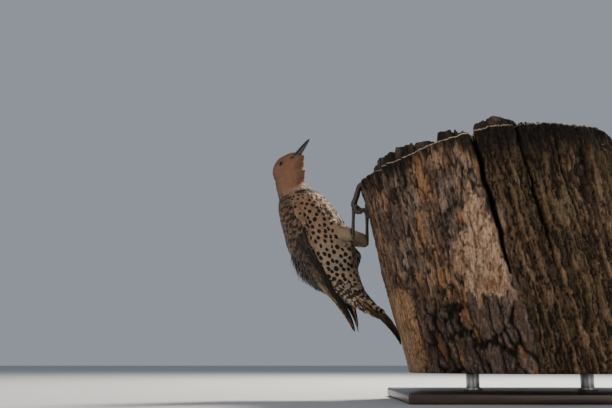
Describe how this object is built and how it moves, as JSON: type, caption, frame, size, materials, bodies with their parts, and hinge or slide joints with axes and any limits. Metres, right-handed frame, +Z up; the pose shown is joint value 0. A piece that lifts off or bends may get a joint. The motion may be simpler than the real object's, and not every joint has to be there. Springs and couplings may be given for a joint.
{
  "type": "woodpecker model",
  "caption": "Life-size brown woodpecker with a black crescent and round black spots below, clinging to a short cut length of weathered trunk on a flat base with rods.",
  "frame": {"origin": "middle of the flat base's underside", "axes": "+Z up, +X from the bird towards the trunk, +Y away from the side the bird shows to a viewer in front"},
  "size_m": [0.4332, 0.2871, 0.2888],
  "materials": {
    "plumage": "soft feathers, matte",
    "flight_feathers": "stiff feathers with yellow shafts, slight sheen",
    "horn": "satin horn",
    "scaled_skin": "scaly skin, semi-matte",
    "eye": "wet gloss",
    "weathered_wood": "rough weathered bark and bare wood",
    "stand_wood": "dark, satin varnish",
    "stand_steel": "brushed"
  },
  "bodies": {
    "root": {"wing_right": "plumage", "primaries_right": "flight_feathers", "thigh_right": "plumage", "wing_left": "plumage", "primaries_left": "flight_feathers", "thigh_left": "plumage", "tail": "flight_feathers", "head": "plumage", "neck": "plumage", "torso": "plumage", "bill_upper": "horn", "bill_lower": "horn", "eye_left": "eye", "eye_right": "eye", "tarsus_right": "scaled_skin", "toe_front_outer_right": "scaled_skin", "claw_front_outer_right": "horn", "toe_front_inner_right": "scaled_skin", "claw_front_inner_right": "horn", "toe_rear_outer_right": "scaled_skin", "claw_rear_outer_right": "horn", "toe_rear_inner_right": "scaled_skin", "claw_rear_inner_right": "horn", "tarsus_left": "scaled_skin", "toe_front_outer_left": "scaled_skin", "claw_front_outer_left": "horn", "toe_front_inner_left": "scaled_skin", "claw_front_inner_left": "horn", "toe_rear_outer_left": "scaled_skin", "claw_rear_outer_left": "horn", "toe_rear_inner_left": "scaled_skin", "claw_rear_inner_left": "horn", "perch_log": "weathered_wood", "stand_base": "stand_wood", "stand_rod_1": "stand_steel", "stand_rod_2": "stand_steel"}
  },
  "joints": []
}
